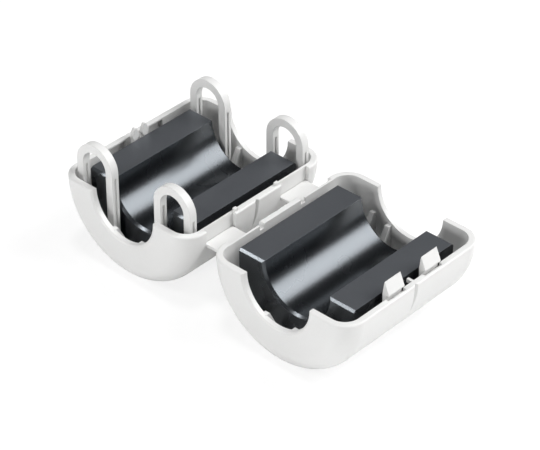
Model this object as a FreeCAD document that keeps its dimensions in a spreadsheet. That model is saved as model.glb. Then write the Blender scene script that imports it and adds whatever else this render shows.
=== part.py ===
import FreeCAD, Part
import os
import re

import Sketcher
from FreeCAD import Vector

# Openable ferrite sleeve for a round cable, lying open on its two flat backs.
# Two half-round plastic case halves each hold half of a ferrite core and are joined by two moulded
# straps that fold in two places. Shutting the sleeve brings the two grooves together round the cable,
# and two hooks on the cover snap into the base's long wall.
#
# Frame: +Z up from the flat backs, +Y along the cable, +X from the base half to the cover half, with
# the origin midway between the halves.
#
# Each half is drawn in its own frame, with its groove's axis along Y and its rim at height 0.
# There, toward is 1 for the base and -1 for the cover: the side on which the straps are.

SIZES = [
    ("bore_radius", "6.5", "groove for the cable"),
    ("ferrite_length", "23", "along the cable"),
    ("ferrite_radius", "12.6", "round back of a ferrite half"),
    ("ferrite_trim", "1.1", "how far the round back is cut off at each side"),
    ("ferrite_edge", "0.4", "bevel on the end edges of the lands and groove"),
    ("ferrite_play", "0.45", "ferrite's round back to the shell's inside"),
    ("case_wall", "1.1", "shell wall"),
    ("case_radius", "=ferrite_radius + ferrite_play + case_wall", "round outside of a half"),
    ("cavity_radius", "=case_radius - case_wall", "round inside of a half"),
    ("back_trim", "0.7", "how far the round outside is cut off at the flat back"),
    ("case_depth", "=case_radius - back_trim", "rim to flat back"),
    ("floor_wall", "1.2", "flat back to the ferrite's seat"),
    ("ferrite_depth", "=case_depth - floor_wall", "rim to the ferrite's flat bottom"),
    ("ferrite_side", "=ferrite_radius - ferrite_trim", "groove's axis to a ferrite's side"),
    ("seat_width", "8", "flat pad on the floor that the ferrite sits on"),
    ("seat_overhang", "0.5", "how far that pad runs past the ferrite"),
    ("loop_play", "0.6", "ferrite's end to a cable loop"),
    ("loop_depth", "1.4", "loop along the cable"),
    ("loop_room", "1.5", "loop to the end wall"),
    ("end_room", "=loop_play + loop_depth + loop_room", "ferrite's end to the end wall"),
    ("case_length", "=ferrite_length + 2 * (end_room + case_wall)", "each half, end to end"),
    ("end_round", "3.8", "outer rounding between the ends and the round side"),
    ("rim_round", "0.3", "rounding on the rim's outer edge"),
    ("notch_play", "0.1", "cable notch in an end wall past the bore"),
    ("notch_radius", "=bore_radius + notch_play", "cable notch in each end wall"),
    ("notch_bevel", "0.3", "bevel on a notch's outer edge"),
    ("half_gap", "1.94", "from the middle of the hinge to either half"),
    ("strap_start", "5.2", "mid-length to the near end of a strap's panel"),
    ("panel_end", "4.4", "far end of a panel to the end of the case"),
    ("panel_length", "=case_length / 2 - panel_end - strap_start", "each recessed panel along the cable"),
    ("strap_play", "0.15", "between a strap and each end of its panel"),
    ("strap_thickness", "0.5", "folding strap"),
    ("fold_depth", "2.6", "fold line below the rim"),
    ("shut_gap", "0.12", "rim to rim when the sleeve is shut"),
    ("fold_reach", "=fold_depth + shut_gap / 2", "fold line from the middle of the hinge"),
    ("fold_play", "0.03", "between a strap's end and its fold line, and from there to the panel"),
    ("loop_clear", "0.68", "shell's inside to a loop's outer leg"),
    ("loop_bite", "1.93", "how far a loop's inner leg reaches into the cable's path"),
    ("loop_radius", "=(cavity_radius - loop_clear - bore_radius + loop_bite) / 2", "loop's round top, outside"),
    ("loop_middle", "=bore_radius - loop_bite + loop_radius", "cable loop from the groove's axis"),
    ("loop_centre", "2.35", "centre of the loop's round top above the rim"),
    ("loop_band", "1.4", "loop's leg across"),
    ("channel_width", "0.45", "channel down both sides of each leg, along the cable"),
    ("channel_depth", "0.22", "channel into the leg"),
    ("channel_top", "1.2", "channel's top above the rim"),
    ("fin_width", "0.9", "fin that stops the ferrite's end"),
    ("fin_front", "3", "inner fins at the front end from the groove's axis"),
    ("fin_rear", "4", "inner fins at the rear end from the groove's axis"),
    ("fin_outer", "7.2", "outer fins from the groove's axis"),
    ("fin_inner_top", "6", "top of the inner fins below the rim"),
    ("fin_outer_top", "4.9", "top of the outer fins below the rim"),
    ("fin_thickness", "0.6", "top of a fin, along the cable"),
    ("fin_foot", "1.3", "low end of a fin's slope above the shell's floor"),
    ("fin_play", "0.1", "ferrite's end to the fins"),
    ("hook_middle", "4.2", "snap hook from mid-length"),
    ("hook_width", "3.6", "snap hook along the rim"),
    ("hook_clear", "0.1", "shell's inside to a hook's stem"),
    ("hook_thickness", "0.7", "hook's stem"),
    ("hook_nose", "0.5", "hook's nose past its stem"),
    ("hook_back", "=cavity_radius - hook_clear", "outer face of a hook's stem from the groove's axis"),
    ("hook_reach", "=hook_back + hook_nose", "hook's tip from the groove's axis"),
    ("hook_lean", "0.3", "how far the inner edge of a hook's top leans out"),
    ("hook_height", "2.85", "hook's top above the rim"),
    ("hook_tip", "0.8", "top of the hook's nose above the rim"),
    ("hook_under", "0.55", "underside of the hook's nose above the rim"),
    ("catch_play", "0.2", "round the nose in its catch"),
    ("spike_middle", "1.08", "locating spike from mid-length"),
    ("spike_width", "1.45", "spike along the rim at its widest"),
    ("spike_stem", "0.85", "spike along the rim below that"),
    ("spike_clear", "0.65", "shell's inside to a spike"),
    ("spike_back", "=cavity_radius - spike_clear", "outer face of a spike from the groove's axis"),
    ("spike_thickness", "0.65", "spike across"),
    ("spike_swell", "0.1", "where a spike starts to widen below the rim"),
    ("spike_shoulder", "0.9", "where a spike starts to narrow above the rim"),
    ("spike_height", "2", "spike's point above the rim"),
    ("spike_point", "0.3", "spike along the rim at its point"),
    ("nub_gap", "0.15", "strap's panel to the nub beside it"),
    ("nub_width", "0.7", "nub along the rim"),
    ("nub_middle", "=strap_start - nub_gap - nub_width / 2", "hinge side nub from mid-length"),
    ("nub_thickness", "0.6", "nub across"),
    ("nub_inset", "0.35", "nub's outer face inside the shell's outside"),
    ("nub_height", "0.5", "nub above the rim"),
    ("slit_play", "0.15", "round a nub in its slit"),
    ("tongue_width", "0.5", "tongue on the cover's rim between the spikes"),
    ("tongue_reach", "1", "tongue inward from the wall"),
    ("tongue_depth", "0.6", "tongue below the rim"),
    ("crease_place", "0.4", "crease in the long walls from mid-length"),
    ("crease_depth", "0.35", "crease at the rim"),
    ("crease_width", "0.9", "crease at the rim, along the cable"),
    ("crease_fall", "6", "crease below the rim, where it runs out"),
]

# Two places closer than this count as one.
SAME = 0.001

doc = FreeCAD.newDocument("ferrite_sleeve")
sheet = doc.addObject("Spreadsheet::Sheet", "Sizes")
for row, (alias, value, meaning) in enumerate(SIZES, start=1):
    sheet.set(f"A{row}", meaning)
    sheet.setAlias(f"B{row}", alias)
for row, (alias, value, meaning) in enumerate(SIZES, start=1):
    sheet.set(f"B{row}", value)
doc.recompute()


def tied(formula):
    """The formula, with each size's name pointing at its cell in the sheet."""
    return re.sub(r"\b([a-z][a-z_]+)\b(?!\()", r"Sizes.\1", formula)


def number(formula):
    """What the formula comes to with the sheet's present values."""
    return float(sheet.evalExpression(tied(formula)))


def bind(thing, prop, formula):
    """Ties one property of a feature to the sheet."""
    thing.setExpression(prop, tied(formula))


def new_body(label):
    body = doc.addObject("PartDesign::Body", label)
    body.Label = label
    return body


def place(body, across, up):
    """Stands a body at its place in the open sleeve."""
    bind(body, "Placement.Base.x", across)
    bind(body, "Placement.Base.z", up)


def new_sketch(body, name, plane, offset="0"):
    """An empty sketch on one of the body's own planes, moved along that plane's normal."""
    sketch = body.newObject("Sketcher::SketchObject", name)
    support = [item for item in body.Origin.OriginFeatures if item.Role == plane][0]
    sketch.AttachmentSupport = [(support, "")]
    sketch.MapMode = "FlatFace"
    bind(sketch, "AttachmentOffset.Base.z", offset)
    return sketch


def dimension(sketch, kind, places, formula):
    """One driving dimension, tied to the sheet."""
    index = sketch.addConstraint(Sketcher.Constraint(kind, *places, number(formula)))
    sketch.setExpression(f"Constraints[{index}]", tied(formula))


def side(start, end, radius):
    """One side of an outline: straight, or an arc that turns left for a plus and right for a minus."""
    if radius == 0:
        return Part.LineSegment(start, end)
    chord = end - start
    lift = max(radius * radius - chord.Length * chord.Length / 4, 0) ** 0.5
    left = Vector(-chord.y, chord.x, 0).normalize()
    turn = 1 if radius > 0 else -1
    centre = (start + end) / 2 + left * lift * turn
    first, last = (start, end) if radius > 0 else (end, start)
    circle = Part.Circle(centre, Vector(0, 0, 1), abs(radius))
    return Part.ArcOfCircle(circle, circle.parameter(first), circle.parameter(last))


def draw(sketch, corners):
    """A closed outline in the sketch. Each corner is (across, up) or (across, up, radius): the radius
    is that of an arc which leads to the next corner. All of them are formulas of the sheet's sizes."""
    points = [Vector(number(corner[0]), number(corner[1]), 0) for corner in corners]
    radii = [number(corner[2]) if len(corner) > 2 else 0 for corner in corners]
    first = len(sketch.Geometry)
    count = len(corners)
    for index in range(count):
        sketch.addGeometry(side(points[index], points[(index + 1) % count], radii[index]), False)
    # An arc that turns right is stored the other way round, so its ends change places.
    starts = [2 if radius < 0 else 1 for radius in radii]
    for index, corner in enumerate(corners):
        here = first + index
        after = (index + 1) % count
        sketch.addConstraint(
            Sketcher.Constraint("Coincident", here, 3 - starts[index], first + after, starts[after])
        )
        dimension(sketch, "DistanceX", (-1, 1, here, starts[index]), corner[0])
        dimension(sketch, "DistanceY", (-1, 1, here, starts[index]), corner[1])
        if radii[index]:
            dimension(sketch, "Radius", (here,), corner[2].lstrip("-"))


def box_corners(left, right, low, high):
    return [(left, low), (right, low), (right, high), (left, high)]


def circle_sketch(body, name, plane, radius):
    """A sketch of one circle round the body's own axis."""
    sketch = new_sketch(body, name, plane)
    circle = sketch.addGeometry(Part.Circle(Vector(0, 0, 0), Vector(0, 0, 1), number(radius)), False)
    sketch.addConstraint(Sketcher.Constraint("Coincident", circle, 3, -1, 1))
    dimension(sketch, "Radius", (circle,), radius)
    return sketch


def extrude(body, kind, name, sketch, length):
    """A pad or a pocket that runs equally to both sides of its sketch."""
    feature = body.newObject(f"PartDesign::{kind}", name)
    feature.Profile = sketch
    feature.Midplane = True
    bind(feature, "Length", length)
    sketch.Visibility = False
    return feature


def pad_at(body, name, plane, offset, corners, length):
    sketch = new_sketch(body, name + "_outline", plane, offset)
    draw(sketch, corners)
    return extrude(body, "Pad", name, sketch, length)


def cut_at(body, name, plane, offset, corners, length):
    sketch = new_sketch(body, name + "_outline", plane, offset)
    draw(sketch, corners)
    return extrude(body, "Pocket", name, sketch, length)


def turned(body, kind, name, corners, angle=180):
    """A profile turned round the V axis of its sketch, from the rim downward."""
    sketch = new_sketch(body, name + "_outline", "XY_Plane")
    draw(sketch, corners)
    feature = body.newObject(f"PartDesign::{kind}", name)
    feature.Profile = sketch
    feature.ReferenceAxis = (sketch, ["V_Axis"])
    feature.Angle = angle
    sketch.Visibility = False
    return feature, sketch


def round_cornered(radius, length, corner):
    """Half of a round-cornered box on the XY plane, from the V axis out to the radius."""
    return [
        ("0", f"-({length}) / 2"),
        (f"{radius} - ({corner})", f"-({length}) / 2", corner),
        (radius, f"-({length}) / 2 + ({corner})"),
        (radius, f"({length}) / 2 - ({corner})", corner),
        (f"{radius} - ({corner})", f"({length}) / 2"),
        ("0", f"({length}) / 2"),
    ]


def floor_at(across, sunk="0"):
    """Height of the shell's inside at a distance from the groove's axis, and deeper by sunk."""
    return f"(-sqrt(cavity_radius^2 - ({across})^2) - {sunk})"


# Shell shared by both halves

def shell(label, toward):
    """One case half: a half-round tray with closed, notched ends and a seat for its ferrite."""
    body = new_body(label)
    turned(body, "Revolution", "outside", round_cornered("case_radius", "case_length", "end_round"))
    flat_back = cut_at(
        body, "flat_back", "XZ_Plane", "0",
        box_corners("-case_radius", "case_radius", "-case_radius - case_wall", "-case_depth"),
        "2 * case_length",
    )
    doc.recompute()
    rim_round = body.newObject("PartDesign::Fillet", "rim_round")
    rim_round.Base = (flat_back, rim_edges(flat_back.Shape))
    bind(rim_round, "Radius", "rim_round")
    turned(
        body, "Groove", "cavity",
        round_cornered("cavity_radius", "case_length - 2 * case_wall", "end_round - case_wall"),
    )
    pad_at(
        body, "seat", "XZ_Plane", "0",
        box_corners("-seat_width / 2", "seat_width / 2", "-case_depth", "-ferrite_depth"),
        "ferrite_length + 2 * seat_overhang",
    )
    turned(
        body, "Groove", "cable_notches",
        [
            ("0", "-(case_length / 2 + case_wall)"),
            ("notch_radius + notch_bevel + case_wall", "-(case_length / 2 + case_wall)"),
            ("notch_radius", "-(case_length / 2 - notch_bevel)"),
            ("notch_radius", "case_length / 2 - notch_bevel"),
            ("notch_radius + notch_bevel + case_wall", "case_length / 2 + case_wall"),
            ("0", "case_length / 2 + case_wall"),
        ],
    )
    for end in (-1, 1):
        side_name = "front" if end < 0 else "rear"
        # The strap folds up into this panel when the sleeve is shut.
        cut_at(
            body, side_name + "_panel", "XZ_Plane", f"{-end} * (strap_start + panel_length / 2)",
            box_corners(
                f"{toward} * (case_radius + half_gap - fold_reach - fold_play)",
                f"{toward} * (case_radius + case_wall)",
                "-(fold_depth + strap_thickness + fold_play)",
                "case_wall",
            ),
            "panel_length",
        )
        end_fins(body, side_name, end)
    for hand in (-1, 1):
        crease(body, "crease_" + ("left" if hand < 0 else "right"), hand)
    return body


def rim_edges(shape):
    """Names of the edges round the rim's outside, which lie at height 0 and not on the groove's axis."""
    names = []
    for index, edge in enumerate(shape.Edges, start=1):
        box = edge.BoundBox
        on_axis = box.XLength < SAME and abs(box.XMin) < SAME
        if box.ZMin > -SAME and not on_axis:
            names.append(f"Edge{index}")
    return names


def end_fins(body, side_name, end):
    """Four fins that lean from the end wall down to the ferrite's end and stop it."""
    near = f"{end} * (ferrite_length / 2 + fin_play)"
    knee = f"{end} * (case_length / 2 - end_round + case_wall / 3)"
    far = f"{end} * (case_length / 2 - 3 * case_wall / 4)"
    top_near = f"{end} * (case_length / 2 - case_wall - fin_thickness)"
    inner = "fin_front" if end < 0 else "fin_rear"
    for kind, middle, top in (("inner", inner, "fin_inner_top"), ("outer", "fin_outer", "fin_outer_top")):
        floor = floor_at(f"{middle} - fin_width / 2")
        foot = floor_at(f"{middle} - fin_width / 2", "case_wall / 8")
        for hand in (-1, 1):
            pad_at(
                body, f"{side_name}_{kind}_fin_{'left' if hand < 0 else 'right'}",
                "YZ_Plane", f"{hand} * {middle}",
                [
                    (near, f"{floor} + fin_foot"),
                    (near, foot),
                    (knee, foot),
                    (far, f"{foot} + case_wall"),
                    (far, f"-{top}"),
                    (top_near, f"-{top}"),
                ],
                "fin_width",
            )


def crease(body, name, hand):
    """A shallow V in a long wall, widest at the rim, which runs out lower down. The circle that it is
    cut along is larger than the shell's own, and meets it where the crease ends."""
    foot = "sqrt(case_radius^2 - crease_fall^2)"
    rim = "(case_radius - crease_depth)"
    shift = f"(({rim}^2 - {foot}^2 - crease_fall^2) / (2 * ({rim} - {foot})))"
    apex = f"({rim} - {shift})"
    half_width = "crease_width * (crease_depth + rim_round) / crease_depth / 2"
    groove, sketch = turned(
        body, "Groove", name,
        [
            (f"{hand} * {apex}", "-crease_place"),
            (f"{hand} * ({apex} + crease_depth + rim_round)", f"-crease_place - {half_width}"),
            (f"{hand} * ({apex} + crease_depth + rim_round)", f"-crease_place + {half_width}"),
        ],
        angle=45,
    )
    bind(sketch, "AttachmentOffset.Base.x", f"{hand} * {shift}")
    groove.Reversed = hand < 0


# Base half

def base_case():
    body = shell("base_case", 1)
    loop_offset = "(ferrite_length / 2 + loop_play + loop_depth / 2)"
    for end in (-1, 1):
        for hand in (-1, 1):
            name = f"{'front' if end < 0 else 'rear'}_{'left' if hand < 0 else 'right'}_loop"
            cable_loop(body, name, f"{-end} * {loop_offset}", hand)
    for hand in (-1, 1):
        spike(body, f"spike_{'near' if hand < 0 else 'far'}", hand)
        nub(body, f"nub_{'near' if hand < 0 else 'far'}", hand)
        cut_at(
            body, f"catch_{'near' if hand < 0 else 'far'}", "XZ_Plane", f"{hand} * hook_middle",
            box_corners(
                "-(hook_reach + catch_play)",
                "-(cavity_radius - case_wall)",
                "-(hook_height + catch_play)",
                "-(hook_under - catch_play)",
            ),
            "hook_width + 2 * catch_play",
        )
    return body


def cable_loop(body, name, offset, hand):
    """A flat springy loop that bears on the cable. Its two legs stand on the shell's inside, with a
    channel down both sides of each."""
    near = f"{hand} * (loop_middle - loop_radius)"
    near_inside = f"{hand} * (loop_middle - loop_radius + loop_band)"
    far = f"{hand} * (loop_middle + loop_radius)"
    far_inside = f"{hand} * (loop_middle + loop_radius - loop_band)"
    middle = f"{hand} * loop_middle"
    top = "loop_centre + loop_radius"
    inside_top = "loop_centre + loop_radius - loop_band"
    turn = "-" if hand > 0 else ""
    back = "" if hand > 0 else "-"
    pad_at(
        body, name, "XZ_Plane", offset,
        [
            (near, floor_at(near, "case_wall / 2")),
            (near, "loop_centre", f"{turn}loop_radius"),
            (middle, top, f"{turn}loop_radius"),
            (far, "loop_centre"),
            (far, floor_at(far, "case_wall / 2")),
            (far_inside, floor_at(far_inside, "case_wall / 2")),
            (far_inside, "loop_centre", f"{back}(loop_radius - loop_band)"),
            (middle, inside_top, f"{back}(loop_radius - loop_band)"),
            (near_inside, "loop_centre"),
            (near_inside, floor_at(near_inside, "case_wall / 2")),
        ],
        "loop_depth",
    )
    channels = new_sketch(body, name + "_channels_outline", "XZ_Plane", offset)
    for face, inward in ((near, 1), (near_inside, -1), (far_inside, 1), (far, -1)):
        bottom = f"({face} + {hand * inward} * channel_depth)"
        draw(
            channels,
            [
                (face, floor_at(face)),
                (bottom, floor_at(face)),
                (bottom, "channel_top"),
                (face, "channel_top + 2 * channel_depth"),
            ],
        )
    extrude(body, "Pocket", name + "_channels", channels, "channel_width")


def spike(body, name, hand):
    """A pointed finger beside the outer wall that guides the cover as it shuts."""
    middle = f"{hand} * spike_middle"
    foot = floor_at("spike_back - spike_thickness", "case_wall / 4")
    pad_at(
        body, name, "YZ_Plane", "-(spike_back - spike_thickness / 2)",
        [
            (f"{middle} - spike_stem / 2", foot),
            (f"{middle} + spike_stem / 2", foot),
            (f"{middle} + spike_stem / 2", "-spike_swell"),
            (f"{middle} + spike_width / 2", "(spike_shoulder - spike_swell) / 2"),
            (f"{middle} + spike_width / 2", "spike_shoulder"),
            (f"{middle} + spike_point / 2", "spike_height"),
            (f"{middle} - spike_point / 2", "spike_height"),
            (f"{middle} - spike_width / 2", "spike_shoulder"),
            (f"{middle} - spike_width / 2", "(spike_shoulder - spike_swell) / 2"),
            (f"{middle} - spike_stem / 2", "-spike_swell"),
        ],
        "spike_thickness",
    )


def nub(body, name, hand):
    """A small block on the hinge side rim that drops into a slit in the cover."""
    outside = "(case_radius - nub_inset)"
    pad_at(
        body, name, "XZ_Plane", f"{hand} * nub_middle",
        box_corners(f"{outside} - nub_thickness", outside, "-case_wall", "nub_height"),
        "nub_width",
    )


# Cover half

def cover_case():
    body = shell("cover_case", -1)
    for hand in (-1, 1):
        where = "near" if hand < 0 else "far"
        # The rim is cut down outside each hook, where the nose overhangs it.
        cut_at(
            body, f"relief_{where}", "XZ_Plane", f"{hand} * hook_middle",
            box_corners("cavity_radius - case_wall", "hook_reach + catch_play", "-hook_under", "case_wall"),
            "hook_width + 2 * catch_play",
        )
        foot = floor_at("hook_back - hook_thickness", "case_wall / 4")
        pad_at(
            body, f"hook_{where}", "XZ_Plane", f"{hand} * hook_middle",
            [
                ("hook_back - hook_thickness", foot),
                ("hook_back", foot),
                ("hook_back", "hook_under"),
                ("hook_reach", "hook_under"),
                ("hook_reach", "hook_tip"),
                ("hook_back - hook_thickness + hook_lean", "hook_height"),
                ("hook_back - hook_thickness", "hook_tip"),
            ],
            "hook_width",
        )
        cut_at(
            body, f"slit_{where}", "XZ_Plane", f"{hand} * nub_middle",
            box_corners(
                "-(case_radius + case_wall)", "-(cavity_radius - case_wall)",
                "-(nub_height + 2 * slit_play)", "case_wall",
            ),
            "nub_width + 2 * slit_play",
        )
    pad_at(
        body, "tongue", "XZ_Plane", "0",
        box_corners("cavity_radius - tongue_reach", "cavity_radius + case_wall / 2", "-tongue_depth", "0"),
        "tongue_width",
    )
    return body


# Ferrite halves

def ferrite(label):
    """A pressed half core: square sides, round back with a flat, and a half-round groove on top."""
    body = new_body(label)
    side_foot = "-sqrt(ferrite_radius^2 - ferrite_side^2)"
    flat = "sqrt(ferrite_radius^2 - ferrite_depth^2)"
    pad_at(
        body, "block", "XZ_Plane", "0",
        [
            ("-ferrite_side", "0"),
            ("-ferrite_side", side_foot, "ferrite_radius"),
            (f"-{flat}", "-ferrite_depth"),
            (flat, "-ferrite_depth", "ferrite_radius"),
            ("ferrite_side", side_foot),
            ("ferrite_side", "0"),
        ],
        "ferrite_length",
    )
    groove = extrude(
        body, "Pocket", "groove", circle_sketch(body, "groove_outline", "XZ_Plane", "bore_radius"),
        "2 * ferrite_length",
    )
    doc.recompute()
    bevel = body.newObject("PartDesign::Chamfer", "end_edges")
    bevel.Base = (groove, upper_end_edges(groove.Shape))
    bind(bevel, "Size", "ferrite_edge")
    return body


def upper_end_edges(shape):
    """Names of the edges round the lands and the groove, on the two end faces."""
    half = number("ferrite_length / 2")
    names = []
    for index, edge in enumerate(shape.Edges, start=1):
        box = edge.BoundBox
        on_end = abs(abs(box.YMin) - half) < SAME and box.YLength < SAME
        on_top = box.ZMax > -SAME and (box.ZMin > -SAME or isinstance(edge.Curve, Part.Circle))
        if on_end and on_top:
            names.append(f"Edge{index}")
    return names


# Folding straps

def strap(label, end):
    """A flat strap between the halves, as moulded: it folds upward along its two ends."""
    body = new_body(label)
    pad_at(
        body, "sheet", "XZ_Plane", f"{-end} * (strap_start + panel_length / 2)",
        box_corners(
            "-(fold_reach - fold_play)", "fold_reach - fold_play",
            "-(fold_depth + strap_thickness)", "-fold_depth",
        ),
        "panel_length - 2 * strap_play",
    )
    return body


def build():
    pitch = "(case_radius + half_gap)"
    parts = [base_case(), cover_case(), ferrite("base_ferrite"), ferrite("cover_ferrite"),
             strap("front_hinge_strap", -1), strap("rear_hinge_strap", 1)]
    for body, across in zip(parts, (f"-{pitch}", pitch, f"-{pitch}", pitch, "0", "0")):
        place(body, across, "case_depth")
    doc.recompute()
    return parts


def check(parts):
    """Stops if any feature failed, or if a part isn't one sound solid."""
    for item in doc.Objects:
        if "Invalid" in item.State or "Error" in item.State:
            raise RuntimeError(f"{item.Label} failed: {item.State}")
    for part in parts:
        shape = part.Shape
        if shape.isNull() or not shape.isValid() or len(shape.Solids) != 1:
            raise RuntimeError(f"{part.Label} isn't one valid solid")


parts = build()
check(parts)
os.makedirs("parts", exist_ok=True)
for part in parts:
    part.Shape.exportStep(f"parts/{part.Label}.step")
    box = part.Shape.BoundBox
    print(part.Label, "volume", round(part.Shape.Volume, 1), "from", [round(v, 2) for v in
          (box.XMin, box.YMin, box.ZMin)], "to", [round(v, 2) for v in (box.XMax, box.YMax, box.ZMax)])
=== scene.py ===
import bpy
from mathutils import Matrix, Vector


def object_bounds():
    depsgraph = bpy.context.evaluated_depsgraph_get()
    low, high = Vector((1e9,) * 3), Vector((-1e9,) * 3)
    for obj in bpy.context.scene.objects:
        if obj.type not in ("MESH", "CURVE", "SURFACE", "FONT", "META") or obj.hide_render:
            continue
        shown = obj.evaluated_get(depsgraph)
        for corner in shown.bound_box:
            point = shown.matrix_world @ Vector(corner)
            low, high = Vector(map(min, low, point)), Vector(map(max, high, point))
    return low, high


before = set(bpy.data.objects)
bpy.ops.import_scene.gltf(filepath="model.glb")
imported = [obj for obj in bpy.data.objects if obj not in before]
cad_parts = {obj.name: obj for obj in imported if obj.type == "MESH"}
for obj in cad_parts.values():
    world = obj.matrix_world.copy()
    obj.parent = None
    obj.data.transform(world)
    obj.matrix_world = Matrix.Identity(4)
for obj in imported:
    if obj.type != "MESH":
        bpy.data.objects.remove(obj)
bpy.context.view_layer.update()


# The case: two half-round trays of light grey plastic, injection moulded in one shot with their loops,
# spikes, hooks and hinge straps. The mould leaves an even satin grain all over them, faintly clouded in
# tone and shine.

class Signal:
    """A value in a material's nodes, so that shader maths reads as Python."""

    def __init__(self, tree, socket=None):
        self.tree = tree
        self.socket = socket

    def node(self, kind, inputs=None, output=0, **settings):
        """A new node's output, with the node's settings made first and then its sockets set or linked."""
        made = self.tree.nodes.new(kind)
        for name, value in settings.items():
            setattr(made, name, value)
        for name, value in (inputs or {}).items():
            if isinstance(value, Signal):
                self.tree.links.new(value.socket, made.inputs[name])
            else:
                made.inputs[name].default_value = value
        return Signal(self.tree, made.outputs[output])

    def maths(self, operation, first, second):
        return self.node("ShaderNodeMath", {0: first, 1: second}, operation=operation)

    def mix(self, first, second):
        """This value's blend of two colours: 0 gives the first and 1 the second."""
        factor, colour_a, colour_b, colour_result = 0, 6, 7, 2
        sockets = {factor: self, colour_a: first, colour_b: second}
        return self.node("ShaderNodeMix", sockets, output=colour_result, data_type="RGBA")

    def __add__(self, other):
        return self.maths("ADD", self, other)

    def __radd__(self, other):
        return self.maths("ADD", other, self)

    def __sub__(self, other):
        return self.maths("SUBTRACT", self, other)

    def __rsub__(self, other):
        return self.maths("SUBTRACT", other, self)

    def __mul__(self, other):
        return self.maths("MULTIPLY", self, other)

    def __rmul__(self, other):
        return self.maths("MULTIPLY", other, self)


def new_material(name):
    material = bpy.data.materials.new(name)
    material.use_nodes = True
    return material, Signal(material.node_tree), material.node_tree.nodes["Principled BSDF"]


def feed(shader, socket, signal):
    signal.tree.links.new(signal.socket, shader.inputs[socket])


def noise(nodes, place, scale, detail):
    return nodes.node("ShaderNodeTexNoise", {"Vector": place, "Scale": scale, "Detail": detail})


def surface_normal(nodes, height, strength, depth, edge_radius):
    """The normal of a surface with this relief, and with its edges rounded off by edge_radius."""
    edge_samples = 6
    soft_edge = nodes.node("ShaderNodeBevel", {"Radius": edge_radius}, samples=edge_samples)
    relief = {"Strength": strength, "Distance": depth, "Height": height, "Normal": soft_edge}
    return nodes.node("ShaderNodeBump", relief)


def dress(names, material):
    for name in names:
        for material_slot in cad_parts[name].material_slots:
            material_slot.material = material


plastic_light = (0.80, 0.80, 0.79, 1.0)
plastic_shade = (0.74, 0.74, 0.735, 1.0)
plastic_cloud_share = 0.6
plastic_grain_share = 0.4
plastic_grain_scale = 3200.0
plastic_grain_detail = 3.0
plastic_grain_depth = 0.00004
plastic_grain_strength = 0.12
plastic_cloud_scale = 90.0
plastic_cloud_detail = 2.0
plastic_roughness = 0.36
plastic_cloud_roughness = 0.12
plastic_edge_radius = 0.00012
plastic_ior = 1.5

moulded_plastic, nodes, shader = new_material("moulded plastic")
place = nodes.node("ShaderNodeTexCoord", output="Object")
grain = noise(nodes, place, plastic_grain_scale, plastic_grain_detail)
cloud = noise(nodes, place, plastic_cloud_scale, plastic_cloud_detail)
tone = cloud * plastic_cloud_share + grain * plastic_grain_share
satin = surface_normal(nodes, grain, plastic_grain_strength, plastic_grain_depth, plastic_edge_radius)
feed(shader, "Base Color", tone.mix(plastic_light, plastic_shade))
feed(shader, "Roughness", plastic_roughness + plastic_cloud_roughness * cloud)
feed(shader, "Normal", satin)
shader.inputs["IOR"].default_value = plastic_ior

dress(["base_case", "cover_case", "front_hinge_strap", "rear_hinge_strap"], moulded_plastic)


# The ferrite core: two blocks pressed from metal oxide powder and fired hard, each with half of the bore.
# The bore and sides keep the press's smooth black skin, which shines, and the two flat lands that meet
# when the sleeve shuts are ground, which leaves them greyer and duller, with fine lines across.

skin_dark = (0.0012, 0.0016, 0.0022, 1.0)
skin_light = (0.0032, 0.0038, 0.0048, 1.0)
skin_grain_scale = 3600.0
skin_grain_detail = 4.0
skin_grain_share = 0.6
skin_cloud_scale = 160.0
skin_cloud_detail = 3.0
skin_cloud_share = 0.4
skin_roughness = 0.24
skin_cloud_roughness = 0.06

land_dark = (0.050, 0.053, 0.059, 1.0)
land_light = (0.070, 0.074, 0.081, 1.0)
land_level = max(corner[2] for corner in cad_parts["base_ferrite"].bound_box)
grinding_ends = land_level - 0.00006
grinding_starts = land_level - 0.00002
grinding_scale = (700.0, 24000.0, 700.0)
grinding_detail = 2.0
unscaled = 1.0
grinding_roughness = 0.2

ferrite_relief_depth = 0.00003
ferrite_relief_strength = 0.22
ferrite_edge_radius = 0.00005
ferrite_ior = 1.85
ferrite_glint = (0.86, 0.93, 1.0, 1.0)

fired_ferrite, nodes, shader = new_material("fired ferrite")
place = nodes.node("ShaderNodeTexCoord", output="Object")
height = nodes.node("ShaderNodeSeparateXYZ", {"Vector": place}, output="Z")
land_band = {"Value": height, "From Min": grinding_ends, "From Max": grinding_starts}
ground = nodes.node("ShaderNodeMapRange", land_band)
grain = noise(nodes, place, skin_grain_scale, skin_grain_detail)
cloud = noise(nodes, place, skin_cloud_scale, skin_cloud_detail)
stretched = nodes.node("ShaderNodeMapping", {"Vector": place, "Scale": grinding_scale})
lines = noise(nodes, stretched, unscaled, grinding_detail)
relief = grain * (1.0 - ground) + lines * ground
surface = surface_normal(nodes, relief, ferrite_relief_strength, ferrite_relief_depth, ferrite_edge_radius)
mottle = cloud * skin_cloud_share + grain * skin_grain_share
feed(shader, "Base Color", ground.mix(mottle.mix(skin_dark, skin_light), mottle.mix(land_dark, land_light)))
feed(shader, "Roughness", skin_roughness + skin_cloud_roughness * cloud + grinding_roughness * ground)
feed(shader, "Normal", surface)
shader.inputs["IOR"].default_value = ferrite_ior
shader.inputs["Specular Tint"].default_value = ferrite_glint

dress(["base_ferrite", "cover_ferrite"], fired_ferrite)


# The photographer's table: a plain sweep of white paper that the sleeve lies on. To the camera alone it is
# darker paper with a glow of its own, which keeps it white right up to the sleeve's soft shadow and lights
# nothing else.

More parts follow.
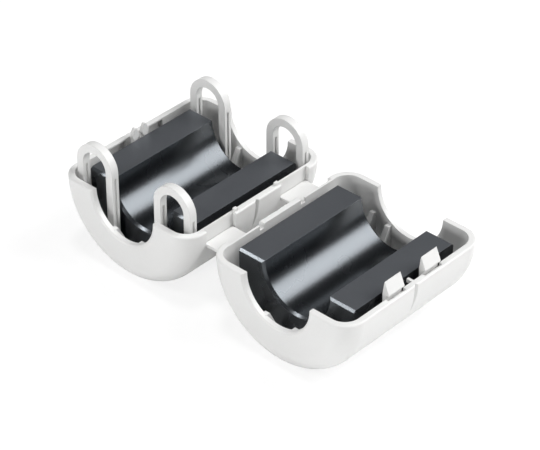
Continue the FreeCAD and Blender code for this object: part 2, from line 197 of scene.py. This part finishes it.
floor_reach = 6.0
floor_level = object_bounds()[0].z
paper_white = (0.95, 0.95, 0.95, 1.0)
paper_seen = (0.28, 0.28, 0.28, 1.0)
paper_roughness = 0.9
no_glow = (0.0, 0.0, 0.0, 1.0)
white_glow = (1.0, 1.0, 1.0, 1.0)
glow_strength = 0.78

bpy.ops.mesh.primitive_plane_add(size=floor_reach, location=(0.0, 0.0, floor_level))
table = bpy.context.object
table.name = "paper_table"
paper, nodes, shader = new_material("white paper")
seen = nodes.node("ShaderNodeLightPath", output="Is Camera Ray")
feed(shader, "Base Color", seen.mix(paper_white, paper_seen))
feed(shader, "Emission Color", seen.mix(no_glow, white_glow))
shader.inputs["Emission Strength"].default_value = glow_strength
shader.inputs["Roughness"].default_value = paper_roughness
shader.inputs["Specular IOR Level"].default_value = 0.0
table.data.materials.append(paper)


# The light: a wide soft box behind at the right, whose glow lies along the bores, smaller and weaker ones
# at the front left, the right, overhead and low in front, and a room so dark that the bores stay black
# beside their glow.

lamp_aim = Vector((0.0, 0.0, 0.012))


def soft_box(name, place, size, watts):
    bpy.ops.object.light_add(type="AREA", location=place)
    lamp = bpy.context.object
    lamp.name = name
    lamp.data.shape = "SQUARE"
    lamp.data.size = size
    lamp.data.energy = watts
    lamp.rotation_euler = (lamp_aim - Vector(place)).to_track_quat("-Z", "Y").to_euler()


soft_box("lamp_behind", place=(0.282, 0.354, 0.40), size=0.40, watts=3.5)
soft_box("lamp_front_left", place=(-0.385, -0.406, 0.43), size=0.14, watts=1.2)
soft_box("lamp_right", place=(0.58, -0.16, 0.16), size=0.30, watts=0.4)
soft_box("lamp_above", place=(-0.02, -0.02, 0.90), size=0.15, watts=2.2)
soft_box("lamp_front_low", place=(0.05, -0.61, 0.17), size=0.24, watts=1.3)

room_white = (1.0, 1.0, 1.0, 1.0)
room_strength = 0.05

room = bpy.data.worlds.new("pale room")
room.use_nodes = True
background = room.node_tree.nodes["Background"]
background.inputs["Color"].default_value = room_white
background.inputs["Strength"].default_value = room_strength
bpy.context.scene.world = room


# The camera: a long lens from the front right, looking down on the open sleeve as in the photograph. Its
# place and lens come from a fit to the edges of the ferrites there.

camera_place = Vector((0.2128, -0.2317, 0.2368))
camera_target = Vector((0.00395, -0.0039, 0.01345))
camera_lens = 165.97
camera_sensor = 36.0
camera_nearest = 0.01

bpy.ops.object.camera_add(location=camera_place)
camera = bpy.context.object
camera.name = "photo_camera"
camera.rotation_euler = (camera_target - camera_place).to_track_quat("-Z", "Y").to_euler()
camera.data.lens = camera_lens
camera.data.sensor_width = camera_sensor
camera.data.clip_start = camera_nearest
bpy.context.scene.camera = camera
bpy.context.scene.view_settings.view_transform = "Standard"
